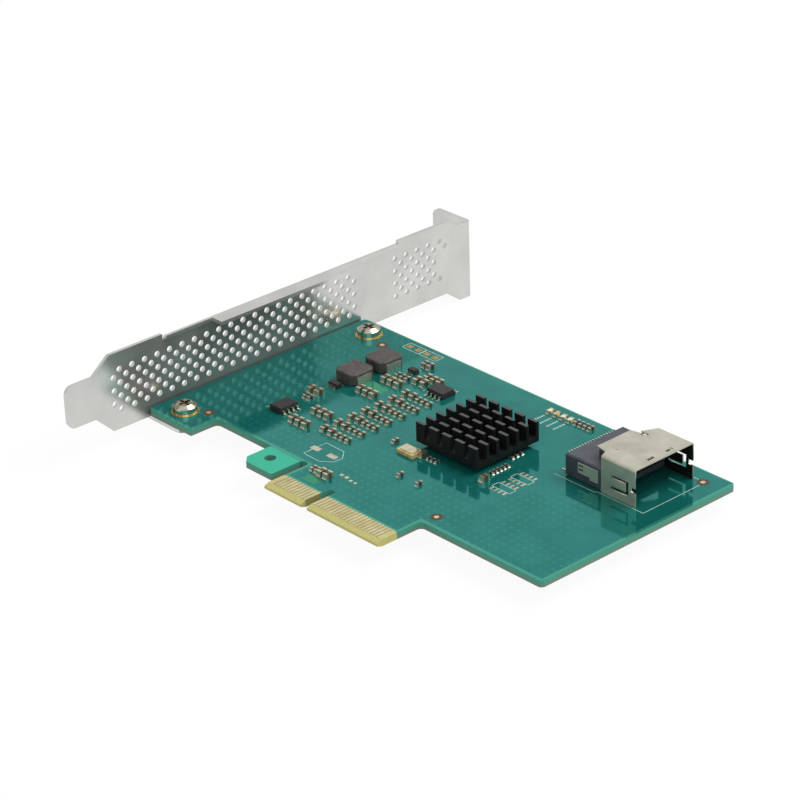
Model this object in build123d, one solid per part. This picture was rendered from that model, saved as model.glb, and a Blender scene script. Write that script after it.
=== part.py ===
from build123d import *
import math
import os

# Frame: origin at the centre of the key notch on the bottom line of the card edge, half way
# through the board. +X runs along the card edge away from the bracket, +Y away from the
# contacts, +Z out of the component side. All sizes are in millimetres.

# Circuit board
board_thickness = 1.57
board_length = 115.14
board_height = 68.9            # contact edge to the far long edge
board_gap = 0.5               # board end to the inner face of the bracket
shoulder_height = 12.2         # height of the long bottom edge above the contact edge
foot_height = 4.7              # height of the foot beside the bracket
foot_length = 14.74
board_corner_radius = 1.0
inner_corner_radius = 1.2

# Card edge, four lanes wide
key_notch_width = 1.9
key_notch_depth = 8.25
contact_pitch = 1.0
contact_width = 0.7
contact_length = 4.4
contact_setback = 1.3          # contact edge to the start of the gold
contact_thickness = 0.04
contacts_before_key = 11
contacts_after_key = 21
key_to_first_contact = 1.5
edge_margin = 1.1              # last contact centre to the end of the edge
bevel_length = 1.3
bevel_angle = 20

# Alignment tab beside the card edge
tab_slot_width = 2.2           # slot between the tab and the card edge
tab_slot_top = 12.6
tab_length = 9.9
tab_bottom_height = 3.8
tab_chamfer = 1.6
tab_hole_diameter = 2.6
tab_hole_from_left = 4.1
tab_hole_height = 8.4

# Bracket, folded from one sheet
sheet = 0.86
key_to_bracket_face = 59.05
bracket_length = 120.02
bracket_width = 18.42
seat_height = 102.55           # seat under the top tab above the contact edge
bend_radius = 0.9
tongue_width = 10.2
tongue_length = 7.4
tongue_offset = 4.45           # solder-side edge of the panel to the tongue
tongue_corner_radius = 2.0
tongue_taper = 4.6
top_tab_depth = 11.43
top_tab_overhang = 3.1         # how far the top tab reaches past the solder-side edge
top_tab_setback = 2.0          # and how far it stays inside the component-side edge
top_tab_corner_radius = 2.0
top_tab_taper = 4.4
top_tab_neck = 3.0             # straight stretch of the panel below the top tab
fixing_slot_width = 4.42
fixing_slot_depth = 5.3
fixing_slot_from_face = 5.8
flange_drop = 0.45
flange_depth = 3.7
flange_start = 24.0
flange_end = 61.5
lip_depth = 0.5
lip_start = 11.0
lip_end = 80.2
relief_width = 0.8
relief_depth = 1.3

# Ventilation holes, in rows that are staggered by half a pitch
vent_diameter = 1.5
vent_sides = 8                # the punched holes are drawn with this many flats
vent_pitch = 3.5
vent_row_pitch = 1.6
vent_rows = 7
vent_centre_offset = 9.45      # solder-side edge of the bracket to the middle row
main_vents_start = -2.05
main_vents_columns = 20
upper_vents_start = 79.1
upper_vents_columns = 5
upper_vents_short_columns = 4

# Bracket ears and screws
screw_from_face = 8.1
lower_screw_height = 9.6
screw_spacing = 54.3
ear_width = 10.0
ear_reach = 4.6                # screw centre to the tip of the ear
screw_diameter = 2.9
screw_hole_clearance = 0.4
thread_clearance = 0.05
screw_length = 3.3
screw_head_diameter = 5.5
screw_head_height = 2.0
screw_head_dome = 0.6
drive_width = 0.75
drive_length = 3.0
drive_depth = 1.1
land_diameter = 6.4
land_thickness = 0.04

# Heat sink, its pad and the controller chip
chip_x = 7.0
chip_y = 43.1
chip_size = 13.0
chip_height = 1.0
chip_chamfer = 0.25
pad_thickness = 0.25
sink_length = 18.6
sink_width = 18.4
sink_base = 1.3
pin_height = 3.4
pin_columns = 5
pin_rows = 7
pin_length = 2.6
pin_width = 0.8

# Power inductors
inductor_length = 6.4
inductor_width = 7.0
inductor_height = 2.75
inductor_edge = 1.0
inductor_x = -36.2
inductor_ys = (46.4, 55.2)
terminal_width = 4.2
terminal_thickness = 0.2
terminal_height = 1.9
terminal_foot = 1.4

# Chips with gull-wing leads
body_clearance = 0.12
lead_thickness = 0.2

# Chip capacitors and resistors: length, width and height of each size
large_chip = (2.0, 1.35, 1.25)
medium_chip = (1.9, 1.2, 1.1)
small_chip = (1.6, 0.9, 0.8)
tiny_chip = (1.1, 0.6, 0.5)
led_chip = (1.7, 1.1, 0.7)
cap_fraction = 0.26            # share of the length under each metal end
ceramic_relief = 0.04          # how far the ceramic stays inside its metal ends

# Crystal in its ceramic can
crystal_x = -1.0
crystal_y = 30.7
crystal_length = 5.0
crystal_width = 3.2
crystal_height = 1.1
crystal_lid_inset = 0.45
crystal_lid_height = 0.25

# Connector for the internal cable
mouth_to_board_end = 7.75
socket_centre_y = 55.65
shell_width = 17.6
shell_length = 9.7
shell_height = 8.6
shell_sheet = 0.3
shell_tab_length = 4.8
shell_tab_width = 10.0
shell_tab_root_width = 11.4
shell_tab_neck_width = 9.0
shell_tab_drop = 1.0
shell_tab_slope = 2.5
shell_tab_bend = 0.7           # how far inside the walls the tab bends down
shell_tab_slit_width = 0.35
shell_overhang = 1.6           # how far the roof reaches past the walls
shell_foot_length = 7.0
shell_foot_gap = 0.9
shell_slot_length = 0.8
shell_slot_width = 2.0
shell_slot_setback = 1.1
shell_slot_spacing = 5.6
latch_length = 5.1
latch_width = 3.1
latch_slit = 0.5
latch_base_height = 2.0
latch_setback = 1.9
latch_bump_length = 1.2
latch_bump_height = 0.35
mouth_notch_height = 3.4
mouth_notch_width = 0.5
housing_length = 10.5          # part of the housing behind the shell
housing_width = 17.2
housing_height = 5.2
housing_lift = 0.25
housing_edge = 0.3
nose_length = 2.2
nose_height = 4.2
nose_slot_height = 1.7
nose_slot_width = 14.2
nose_slot_depth = 4.5
blade_count = 18                # contacts on each side of the slot
blade_pitch = 0.72
blade_width = 0.32
blade_thickness = 0.12
blade_setback = 0.35
side_plate_length = 5.9
side_plate_setback = 1.0
side_plate_height = 1.75
side_plate_thickness = 0.25
side_plate_lift = 1.35
tail_count = 18
tail_pitch = 0.8
tail_width = 0.3
tail_thickness = 0.15
tail_reach = 2.4
tail_rise = 4.9
tail_fan = 0.6

# Bare lands
bare_land_thickness = 0.03
fiducial_diameter = 1.1
fiducial_sides = 16
header_land_length = 1.7
header_land_width = 1.5
header_pitch = 2.8
header_x = -39.3
header_from_top = 2.8
header_count = 4
package_lands = ((22.6, 39.3), (22.6, 33.9))
package_land_pitch = 1.27
package_land_offset = 1.75
package_land_width = 0.6
package_land_length = 1.2

# Other bare lands: middle x and y, then width and length
single_lands = ((-16.9, 18.1, 2.6, 1.5), (-11.6, 18.1, 2.6, 1.5), (-3.9, 14.0, 0.9, 0.9),
                (-2.3, 14.0, 0.9, 0.9), (-0.6, 13.6, 0.7, 0.7), (0.8, 13.6, 0.7, 0.7))

# Worked-out places
top = board_thickness / 2
bottom = -top
face_x = -key_to_bracket_face
panel_x = face_x + sheet
board_left = panel_x + board_gap
board_right = board_left + board_length
foot_right = board_left + foot_length
edge_left = -(key_to_first_contact + (contacts_before_key - 1) * contact_pitch + edge_margin)
edge_right = key_to_first_contact + (contacts_after_key - 1) * contact_pitch + edge_margin
tab_right = edge_left - tab_slot_width
tab_left = tab_right - tab_length
tab_hole_x = tab_left + tab_hole_from_left
ear_top = bottom
panel_bottom = bottom - sheet
panel_top = panel_bottom + bracket_width
tab_top = seat_height + sheet
tongue_tip = tab_top - bracket_length
tongue_root = tongue_tip + tongue_length
flange_top = panel_top - flange_drop
screw_x = face_x + screw_from_face
screw_ys = (lower_screw_height, lower_screw_height + screw_spacing)
mouth_x = board_right - mouth_to_board_end
shell_back = mouth_x - shell_length
slot_middle = top + (housing_lift + housing_height) / 2
fiducials = ((foot_right - 3.6, shoulder_height + 0.5), (foot_right - 1.6, board_height - 6.7),
             (edge_right + 1.0, shoulder_height + 3.4), (board_right - 5.3, board_height - 4.2))

# Chip parts: x of the first, y of its front end, how many, spacing along X and size
chip_rows = []
for row in range(7):
    front = 24.0 + 3.95 * row
    chip_rows.append((-21.8, front, 2, 2.4, medium_chip))
    chip_rows.append((-17.5, front + 0.1, 3, 1.7, small_chip))
for first_x, front in ((-30.4, 42.1), (-30.3, 49.4), (-29.8, 28.4), (-30.2, 22.2)):
    chip_rows.append((first_x, front, 3, 2.1, large_chip))
chip_rows.append((-38.3, 34.5, 2, 2.4, large_chip))
chip_rows.append((-24.5, 53.7, 2, 2.3, large_chip))
chip_rows.append((-23.9, 56.5, 3, 1.9, medium_chip))
chip_rows.append((-9.9, 10.6, 2, 1.3, small_chip))
chip_rows.append((-7.0, 10.2, 2, 1.9, large_chip))
chip_rows.append((2.1, 30.8, 1, 1.0, medium_chip))
chip_rows.append((19.2, 32.3, 1, 1.0, large_chip))
chip_rows.append((-6.9, 31.2, 1, 1.0, small_chip))
resistor_rows = [(-36.9, 31.9, 2, 1.3, small_chip), (-29.2, 60.6, 2, 1.6, medium_chip),
                 (-29.9, 53.0, 3, 1.5, small_chip), (4.0, 31.2, 3, 1.2, tiny_chip),
                 (5.2, 21.6, 1, 1.0, small_chip), (10.9, 21.6, 1, 1.0, small_chip),
                 (14.9, 64.5, 4, 1.4, small_chip)]
side_rows = [(17.6, 36.4, 5, 1.15, tiny_chip), (15.6, 44.2, 3, 1.4, tiny_chip)]
led_row = (6.9, 64.2, 4, 2.05, led_chip)


def block(x0, x1, y0, y1, z0, z1):
    """Box between two corners."""
    middle = Pos((x0 + x1) / 2, (y0 + y1) / 2, (z0 + z1) / 2)
    return middle * Box(x1 - x0, y1 - y0, z1 - z0)


def post(x, y, z0, z1, diameter):
    """Upright cylinder."""
    return Pos(x, y, (z0 + z1) / 2) * Cylinder(diameter / 2, z1 - z0)


def prism(points, plane, depth):
    """Closed outline through the points, drawn on a plane and pushed along its normal."""
    return extrude(plane * make_face(Polyline(*points, close=True)), depth)


def save(name, solids):
    """Write one node, as one solid or as a group of separate solids."""
    group = list(solids) if isinstance(solids, (list, tuple)) else [solids]
    shape = group[0] if len(group) == 1 else Compound(children=group)
    shape.label = name
    export_step(shape, f"parts/{name}.step")


def near(edges, x=None, y=None, z=None, slack=0.01):
    """Edges whose middle lies at the given coordinates."""
    found = []
    for edge in edges:
        middle = edge.center(CenterOf.BOUNDING_BOX)
        wanted = ((middle.X, x), (middle.Y, y), (middle.Z, z))
        if all(value is None or abs(got - value) < slack for got, value in wanted):
            found.append(edge)
    return found


def board_outline():
    """Outline of the bare board, seen from the component side."""
    return [(board_left, foot_height), (foot_right, foot_height), (foot_right, shoulder_height),
            (tab_left, shoulder_height), (tab_left, tab_bottom_height + tab_chamfer),
            (tab_left + tab_chamfer, tab_bottom_height), (tab_right, tab_bottom_height),
            (tab_right, shoulder_height), (edge_left, shoulder_height), (edge_left, 0),
            (edge_right, 0), (edge_right, shoulder_height), (board_right, shoulder_height),
            (board_right, board_height), (board_left, board_height)]


def circuit_board():
    """Board with its card edge, key notch, alignment tab and holes."""
    board = prism(board_outline(), Plane.XY.offset(bottom), board_thickness)
    outer = near(board.edges(), x=board_right, z=0) + near(board.edges(), x=board_left, z=0)
    board = fillet([e for e in outer if e.geom_type == GeomType.LINE and
                    abs(e.length - board_thickness) < 0.01], board_corner_radius)
    inner = near(board.edges(), x=foot_right, y=shoulder_height, z=0)
    inner += near(board.edges(), x=edge_right, y=shoulder_height, z=0)
    board = fillet(inner, inner_corner_radius)
    slot_radius = tab_slot_width / 2
    slot_x = (tab_right + edge_left) / 2
    board -= block(tab_right, edge_left, shoulder_height - slot_radius,
                   tab_slot_top - slot_radius, bottom, top)
    board -= post(slot_x, tab_slot_top - slot_radius, bottom, top, tab_slot_width)
    notch_radius = key_notch_width / 2
    board -= block(-notch_radius, notch_radius, 0, key_notch_depth - notch_radius, bottom, top)
    board -= post(0, key_notch_depth - notch_radius, bottom, top, key_notch_width)
    board -= post(tab_hole_x, tab_hole_height, bottom, top, tab_hole_diameter)
    for y in screw_ys:
        board -= post(screw_x, y, bottom, top, screw_diameter + screw_hole_clearance)
    bevel = bevel_length * math.tan(math.radians(bevel_angle))
    for side in (1, -1):
        wedge = [(0, side * top), (bevel_length, side * top), (0, side * (top - bevel))]
        board -= prism(wedge, Plane.YZ.offset(edge_left), edge_right - edge_left)
    return board


def edge_contacts(side):
    """Row of gold contacts on one side of the card edge."""
    centres = [-key_to_first_contact - contact_pitch * i for i in range(contacts_before_key)]
    centres += [key_to_first_contact + contact_pitch * i for i in range(contacts_after_key)]
    low, high = (top, top + contact_thickness) if side > 0 else (bottom - contact_thickness, bottom)
    return [block(x - contact_width / 2, x + contact_width / 2, contact_setback,
                  contact_setback + contact_length, low, high) for x in centres]


def panel_outline():
    """Outline of the flat panel with its tongue and the shoulders of the top tab."""
    tongue_low = panel_bottom + tongue_offset
    tongue_high = tongue_low + tongue_width
    neck = seat_height - top_tab_neck
    return [(tongue_tip, tongue_low), (tongue_root, tongue_low),
            (tongue_root + tongue_taper, panel_bottom), (neck - top_tab_taper, panel_bottom),
            (neck, panel_bottom - top_tab_overhang), (tab_top, panel_bottom - top_tab_overhang),
            (tab_top, panel_top - top_tab_setback), (neck, panel_top - top_tab_setback),
            (neck - top_tab_taper, panel_top), (lip_end, panel_top), (lip_end, flange_top),
            (lip_start, flange_top), (lip_start, panel_top),
            (tongue_root + tongue_taper, panel_top), (tongue_root, tongue_high),
            (tongue_tip, tongue_high)]


def vent_centres():
    """Middle of every ventilation hole, as (y, z)."""
    middle_z = panel_bottom + vent_centre_offset
    middle_row = vent_rows // 2
    centres = []
    for row in range(vent_rows):
        z = middle_z + (middle_row - row) * vent_row_pitch
        staggered = row % 2 == 1
        shift = -vent_pitch / 2 if staggered else 0
        for column in range(main_vents_columns + (1 if staggered else 0)):
            centres.append((main_vents_start + shift + column * vent_pitch, z))
        edge_row = row in (0, 1, vent_rows - 1)
        for column in range(upper_vents_columns if edge_row else upper_vents_short_columns):
            centres.append((upper_vents_start - shift + column * vent_pitch, z))
    return centres


def bracket():
    """Full-height bracket: perforated panel, tongue, top tab, flange, lip and two ears."""
    across = Plane.YZ.offset(face_x)
    sketch = make_face(Polyline(*panel_outline(), close=True))
    tips = [v for v in sketch.vertices() if abs(v.X - tongue_tip) < 0.01]
    sketch = fillet(tips, tongue_corner_radius)
    vent = RegularPolygon(vent_diameter / 2, vent_sides)
    holes = [Pos(y, z) * vent for y, z in vent_centres()]
    sketch = sketch - holes
    panel = extrude(across * sketch, sheet)
    tab_low = panel_bottom - top_tab_overhang
    tab_high = panel_top - top_tab_setback
    panel += block(face_x - top_tab_depth, face_x, seat_height, tab_top, tab_low, tab_high)
    panel += block(panel_x, panel_x + lip_depth, lip_start, lip_end, flange_top - sheet, flange_top)
    panel += block(panel_x, panel_x + flange_depth, flange_start, flange_end,
                   flange_top - sheet, flange_top)
    for y in screw_ys:
        panel += block(panel_x, screw_x + ear_reach, y - ear_width / 2, y + ear_width / 2,
                       panel_bottom, ear_top)
    panel = fillet(near(panel.edges(), x=panel_x, y=tab_top), bend_radius)
    panel = fillet(near(panel.edges(), x=face_x, z=flange_top), min(bend_radius, 0.9 * sheet))
    corner_edges = near(panel.edges(), x=face_x - top_tab_depth, y=seat_height + sheet / 2)
    panel = fillet(corner_edges, top_tab_corner_radius)
    ear_tips = [e for e in near(panel.edges(), x=screw_x + ear_reach, z=ear_top - sheet / 2)]
    panel = fillet(ear_tips, top_tab_corner_radius)
    slot_x = face_x - fixing_slot_from_face
    slot_radius = fixing_slot_width / 2
    slot_end = tab_low + fixing_slot_depth - slot_radius
    panel -= block(slot_x - slot_radius, slot_x + slot_radius, seat_height, tab_top,
                   tab_low, slot_end)
    panel -= Pos(slot_x, seat_height + sheet / 2, slot_end) * Rot(90, 0, 0) * Cylinder(
        slot_radius, sheet)
    panel -= block(face_x, panel_x, lip_start - relief_width, lip_start,
                   panel_top - relief_depth, panel_top)
    for y in screw_ys:
        panel -= post(screw_x, y, panel_bottom, ear_top, screw_diameter + 2 * thread_clearance)
    return panel


def bracket_screw(y):
    """Pan-head screw with a cross recess."""
    seat = top + land_thickness
    head = post(screw_x, y, seat, seat + screw_head_height, screw_head_diameter)
    rim = [e for e in head.edges() if abs(e.center().Z - seat - screw_head_height) < 0.01]
    head = chamfer(rim, screw_head_dome, 1.6 * screw_head_dome)
    screw = head + post(screw_x, y, seat - screw_length, seat, screw_diameter)
    crown = seat + screw_head_height
    half_width, half_length = drive_width / 2, drive_length / 2
    for dx, dy in ((half_length, half_width), (half_width, half_length)):
        screw -= block(screw_x - dx, screw_x + dx, y - dy, y + dy, crown - drive_depth, crown)
    return screw


def screw_land(y):
    """Gold ring under a screw head."""
    ring = post(screw_x, y, top, top + land_thickness, land_diameter)
    return ring - post(screw_x, y, top, top + land_thickness, screw_diameter + screw_hole_clearance)


def controller_chip():
    """Moulded package of the controller."""
    half = chip_size / 2
    chip = block(chip_x - half, chip_x + half, chip_y - half, chip_y + half, top, top + chip_height)
    return chamfer(chip.faces().sort_by(Axis.Z)[-1].edges(), chip_chamfer)


def thermal_pad():
    """Soft pad between the chip and the heat sink."""
    half = chip_size / 2 - chip_chamfer
    low = top + chip_height
    return block(chip_x - half, chip_x + half, chip_y - half, chip_y + half, low,
                 low + pad_thickness)


def heat_sink():
    """Base plate with a grid of flat pins."""
    low = top + chip_height + pad_thickness
    left, front = chip_x - sink_length / 2, chip_y - sink_width / 2
    sink = block(left, left + sink_length, front, front + sink_width, low, low + sink_base)
    step_x = (sink_length - pin_length) / (pin_columns - 1)
    step_y = (sink_width - pin_width) / (pin_rows - 1)
    pins = []
    for i in range(pin_columns):
        for j in range(pin_rows):
            x, y = left + i * step_x, front + j * step_y
            pins.append(block(x, x + pin_length, y, y + pin_width, low + sink_base,
                              low + sink_base + pin_height))
    return sink + pins


def inductor(y):
    """Moulded block of a power inductor."""
    low = top + terminal_thickness
    body = block(inductor_x - inductor_length / 2, inductor_x + inductor_length / 2,
                 y - inductor_width / 2, y + inductor_width / 2, low, top + inductor_height)
    uprights = [e for e in body.edges() if abs(e.length - inductor_height + terminal_thickness) < 0.01]
    body = chamfer(uprights, inductor_edge)
    return chamfer(body.faces().sort_by(Axis.Z)[-1].edges(), inductor_edge / 4)


def inductor_terminals(y):
    """Folded end plates of an inductor, each with a foot under the block."""
    plates = []
    for side in (-1, 1):
        end = inductor_x + side * inductor_length / 2
        outline = [(end - side * terminal_foot, top), (end + side * terminal_thickness, top),
                   (end + side * terminal_thickness, top + terminal_height),
                   (end, top + terminal_height), (end, top + terminal_thickness),
                   (end - side * terminal_foot, top + terminal_thickness)]
        plane = Plane.XZ.offset(-(y + terminal_width / 2))
        plates.append(prism(outline, plane, terminal_width))
    return plates


class LeadedChip:
    """Small moulded chip with gull-wing leads on two sides."""

    def __init__(self, x, y, length, width, height, leads, pitch, span, turned):
        self.place = Pos(x, y, top) * Rot(0, 0, 90 if turned else 0)
        self.length, self.width, self.height = length, width, height
        self.leads, self.pitch, self.span = leads, pitch, span
        self.lead_width = 0.34 * pitch

    def body(self):
        """Moulded body, drafted on its upper half."""
        middle = (self.height + body_clearance) / 2
        draft = 0.12 * (self.height - middle)
        lower = block(-self.length / 2, self.length / 2, -self.width / 2, self.width / 2,
                      body_clearance, middle)
        wide = Plane.XY.offset(middle) * Rectangle(self.length, self.width)
        narrow = Plane.XY.offset(self.height) * Rectangle(self.length - 2 * draft,
                                                          self.width - 2 * draft)
        return self.place * (lower + loft([wide, narrow]))

    def gull_wings(self):
        """Leads that leave the body half way up and fold down to the board."""
        level = (self.height + body_clearance) / 2
        t = lead_thickness
        knee = self.width / 2 + 0.45 * (self.span - self.width) / 2
        wings = []
        for side in (-1, 1):
            outline = [(side * self.width / 2, level), (side * knee, level), (side * knee, t),
                       (side * self.span / 2, t), (side * self.span / 2, 0),
                       (side * (knee - t), 0), (side * (knee - t), level - t),
                       (side * self.width / 2, level - t)]
            wing = prism(outline, Plane.YZ.offset(-self.lead_width / 2), self.lead_width)
            for i in range(self.leads):
                x = (i - (self.leads - 1) / 2) * self.pitch
                wings.append(self.place * Pos(x, 0, 0) * wing)
        return wings


eight_lead_chips = [LeadedChip(-36.2, 25.6, 4.9, 3.7, 1.4, 4, 1.27, 6.7, True),
                    LeadedChip(-16.6, 54.5, 4.9, 3.7, 1.4, 4, 1.27, 6.7, False)]
small_leaded_chips = [LeadedChip(-36.3, 40.7, 2.9, 1.6, 1.1, 4, 0.65, 3.2, False),
                      LeadedChip(-28.9, 57.5, 2.2, 1.5, 1.0, 3, 0.75, 3.3, False)]


def chip_pieces(row, along_x=False):
    """Bodies and metal ends of one row of two-ended chips."""
    first, front, count, pitch, (length, width, height) = row
    metal = cap_fraction * length
    bodies, ends = [], []
    for i in range(count):
        if along_x:
            place = Pos(first, front + i * pitch, top) * Rot(0, 0, -90)
        else:
            place = Pos(first + i * pitch, front, top)
        w, r = width / 2, ceramic_relief
        bodies.append(place * block(-w + r, w - r, metal, length - metal, r, height - r))
        ends.append(place * block(-w, w, 0, metal, 0, height))
        ends.append(place * block(-w, w, length - metal, length, 0, height))
    return bodies, ends


def gather(rows, along_x=False):
    """Bodies and ends of several rows."""
    bodies, ends = [], []
    for row in rows:
        more_bodies, more_ends = chip_pieces(row, along_x)
        bodies += more_bodies
        ends += more_ends
    return bodies, ends


def crystal_base():
    """Ceramic base of the crystal."""
    half_x, half_y = crystal_length / 2, crystal_width / 2
    body = block(crystal_x - half_x, crystal_x + half_x, crystal_y - half_y, crystal_y + half_y,
                 top, top + crystal_height - crystal_lid_height)
    return chamfer(body.edges().filter_by(Axis.Z), crystal_lid_inset / 2)


def crystal_lid():
    """Metal lid of the crystal."""
    half_x = crystal_length / 2 - crystal_lid_inset
    half_y = crystal_width / 2 - crystal_lid_inset
    lid = block(crystal_x - half_x, crystal_x + half_x, crystal_y - half_y, crystal_y + half_y,
                top + crystal_height - crystal_lid_height, top + crystal_height)
    return fillet(lid.edges().filter_by(Axis.Z), crystal_lid_inset)


def socket_shell():
    """Folded metal shell round the mouth of the cable connector."""
    near_y = socket_centre_y - shell_width / 2
    far_y = socket_centre_y + shell_width / 2
    roof = top + shell_height
    shell = block(shell_back, mouth_x, near_y, far_y, top, roof)
    folds = [e for e in shell.edges().filter_by(Axis.X) if e.center().Z > roof - 0.01]
    shell = fillet(folds, 2 * shell_sheet)
    hollow = block(shell_back, mouth_x, near_y + shell_sheet, far_y - shell_sheet, top,
                   roof - shell_sheet)
    folds = [e for e in hollow.edges().filter_by(Axis.X) if e.center().Z > roof - 0.5]
    shell -= fillet(folds, shell_sheet)
    # The roof reaches past the walls, and its middle is slit free and bent down as a tab
    roof_end, bend = shell_back - shell_overhang, shell_back + shell_tab_bend
    slope_end, tab_end = shell_back - shell_tab_slope, shell_back - shell_tab_length
    half_end, half_root, half_neck = shell_tab_width / 2, shell_tab_root_width / 2, shell_tab_neck_width / 2
    cut = half_neck + shell_tab_slit_width
    overhang = [(shell_back, near_y + 2 * shell_sheet), (shell_back, far_y - 2 * shell_sheet),
                (roof_end, socket_centre_y + cut), (roof_end, socket_centre_y - cut)]
    shell += prism(overhang, Plane.XY.offset(roof - shell_sheet), shell_sheet)
    shell -= block(roof_end, bend, socket_centre_y - cut, socket_centre_y + cut, roof - shell_sheet, roof)
    tab_roof = roof - shell_tab_drop
    profile = [(bend, roof), (slope_end, tab_roof), (tab_end, tab_roof),
               (tab_end, tab_roof - shell_sheet), (slope_end, tab_roof - shell_sheet),
               (bend, roof - shell_sheet)]
    half_plan = [(bend, half_neck), (roof_end, half_neck), (roof_end, half_root), (tab_end, half_end)]
    plan = [(x, socket_centre_y - y) for x, y in half_plan]
    plan += [(x, socket_centre_y + y) for x, y in reversed(half_plan)]
    flap = prism(profile, Plane.XZ.offset(-(socket_centre_y + half_root)), shell_tab_root_width)
    shell += flap & prism(plan, Plane.XY.offset(top), shell_height)
    for side in (-1, 1):
        y = socket_centre_y + side * shell_slot_spacing / 2
        shell -= block(mouth_x - shell_slot_setback - shell_slot_length,
                       mouth_x - shell_slot_setback, y - shell_slot_width / 2,
                       y + shell_slot_width / 2, roof - shell_sheet, roof)
    latch_front = mouth_x - latch_setback
    latch_low = top + latch_base_height
    latch_high = latch_low + latch_width
    notch_low = top + mouth_notch_height
    for wall, outward in ((near_y, -latch_bump_height), (far_y - shell_sheet, shell_sheet)):
        walls = (wall, wall + shell_sheet)
        bump_end = latch_front - latch_slit - latch_slit / 2
        shell += block(bump_end - latch_bump_length, bump_end, wall + outward,
                       wall + outward + latch_bump_height, latch_low + 2 * latch_slit,
                       latch_high - 2 * latch_slit)
        shell -= block(latch_front - latch_slit, latch_front, *walls, latch_low, latch_high)
        for low in (latch_low, latch_high - latch_slit):
            shell -= block(latch_front - latch_length, latch_front, *walls, low, low + latch_slit)
        shell -= block(latch_front, mouth_x, *walls, notch_low, notch_low + mouth_notch_width)
        shell -= block(shell_back, mouth_x - shell_foot_length, *walls, top, top + shell_foot_gap)
    return shell


def socket_housing():
    """Moulded housing behind the shell, with the slotted nose that reaches into it."""
    low = top + housing_lift
    near_y = socket_centre_y - housing_width / 2
    far_y = socket_centre_y + housing_width / 2
    back = shell_back - housing_length
    housing = block(back, shell_back, near_y, far_y, low, top + housing_height)
    rim = housing.faces().sort_by(Axis.Z)[-1].edges()
    housing = chamfer(rim.filter_by(Axis.X) + rim.sort_by(Axis.X)[:1], housing_edge)
    front = shell_back + nose_length
    housing += block(shell_back, front, near_y + 2 * shell_sheet, far_y - 2 * shell_sheet,
                     slot_middle - nose_height / 2, slot_middle + nose_height / 2)
    housing -= block(front - nose_slot_depth, front, socket_centre_y - nose_slot_width / 2,
                     socket_centre_y + nose_slot_width / 2, slot_middle - nose_slot_height / 2,
                     slot_middle + nose_slot_height / 2)
    for plate in socket_side_plates():
        housing -= plate
    half_tab = shell_tab_width / 2
    housing += block(shell_back - shell_tab_length + housing_edge, shell_back - shell_tab_slope,
                     socket_centre_y - half_tab + housing_edge,
                     socket_centre_y + half_tab - housing_edge, top + housing_height,
                     top + shell_height - shell_tab_drop - shell_sheet)
    return housing


def socket_contacts():
    """Contact blades on the floor and the ceiling of the slot in the nose."""
    front = shell_back + nose_length
    floor, ceiling = slot_middle - nose_slot_height / 2, slot_middle + nose_slot_height / 2
    first = socket_centre_y - (blade_count - 1) / 2 * blade_pitch
    blades = []
    for i in range(blade_count):
        y = first + i * blade_pitch
        for low in (floor, ceiling - blade_thickness):
            blades.append(block(front - nose_slot_depth, front - blade_setback,
                                y - blade_width / 2, y + blade_width / 2, low, low + blade_thickness))
    return blades


def socket_side_plates():
    """Metal plates let into the two sides of the housing."""
    near_y = socket_centre_y - housing_width / 2
    far_y = socket_centre_y + housing_width / 2
    front = shell_back - side_plate_setback
    return [block(front - side_plate_length, front, wall, wall + side_plate_thickness,
                  top + side_plate_lift, top + side_plate_lift + side_plate_height)
            for wall in (near_y, far_y - side_plate_thickness)]


def socket_tails():
    """Contact tails that leave the back of the housing and fold down to the board."""
    back = shell_back - housing_length
    t = tail_thickness
    outline = [(back, top + tail_rise), (back - tail_fan, top + tail_rise),
               (back - tail_fan, top + t), (back - tail_reach, top + t),
               (back - tail_reach, top), (back - tail_fan + t, top),
               (back - tail_fan + t, top + tail_rise - t), (back, top + tail_rise - t)]
    tail = prism(outline, Plane.XZ.offset(tail_width / 2), tail_width)
    first = socket_centre_y - (tail_count - 1) / 2 * tail_pitch
    return [Pos(0, first + i * tail_pitch, 0) * tail for i in range(tail_count)]


def header_lands():
    """Bare gold lands of an unfitted header."""
    y = board_height - header_from_top
    return [block(header_x + i * header_pitch - header_land_length / 2,
                  header_x + i * header_pitch + header_land_length / 2,
                  y - header_land_width / 2, y + header_land_width / 2,
                  top, top + bare_land_thickness) for i in range(header_count)]


def tinned_lands():
    """Bare tinned lands of parts that aren't fitted."""
    lands = []
    high = top + bare_land_thickness
    places = [(x0 + i * package_land_pitch, y_middle + side * package_land_offset,
               package_land_width, package_land_length)
              for x0, y_middle in package_lands for i in range(4) for side in (-1, 1)]
    for x, y, w, h in (*places, *single_lands):
        lands.append(block(x - w / 2, x + w / 2, y - h / 2, y + h / 2, top, high))
    return lands


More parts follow.
